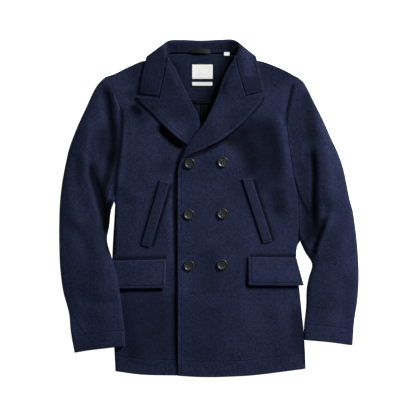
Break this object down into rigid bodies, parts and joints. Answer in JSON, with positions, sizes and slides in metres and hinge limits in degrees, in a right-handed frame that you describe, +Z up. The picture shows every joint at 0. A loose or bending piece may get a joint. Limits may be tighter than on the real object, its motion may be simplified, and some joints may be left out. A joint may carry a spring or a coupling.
{
  "type": "pea coat",
  "caption": "Navy wool double-breasted pea coat, buttoned and laid flat on its back, with peaked lapels, slanted welt pockets and flap pockets.",
  "frame": {"origin": "middle of the box that the laid coat fills, on the surface that it lies on", "axes": "+X across the coat towards the wearer's left, +Y up the coat to the collar, +Z up from the surface"},
  "size_m": [0.726, 0.8186, 0.0237],
  "materials": {
    "navy_wool": "matte felted wool melton",
    "button_horn": "satin dark horn",
    "bias_tape": "dark olive-black woven tape",
    "satin_tape": "dark grey satin ribbon",
    "label_cloth": "white woven label cloth, bare"
  },
  "bodies": {
    "root": {"back_right": "navy_wool", "back_left": "navy_wool", "front_right": "navy_wool", "front_left": "navy_wool", "lapel_right": "navy_wool", "lapel_left": "navy_wool", "collar": "navy_wool", "sleeve_right_under": "navy_wool", "sleeve_right_top": "navy_wool", "sleeve_left_under": "navy_wool", "sleeve_left_top": "navy_wool", "flap_right": "navy_wool", "flap_left": "navy_wool", "welt_right": "navy_wool", "welt_left": "navy_wool", "back_neck_facing": "navy_wool", "button_top_right": "button_horn", "button_top_left": "button_horn", "button_middle_right": "button_horn", "button_middle_left": "button_horn", "button_low_right": "button_horn", "button_low_left": "button_horn", "facing_binding": "bias_tape", "seam_binding_right": "bias_tape", "seam_binding_left": "bias_tape", "hanger_loop": "satin_tape", "label_main": "label_cloth", "label_strip": "label_cloth", "label_tab": "label_cloth"}
  },
  "joints": []
}
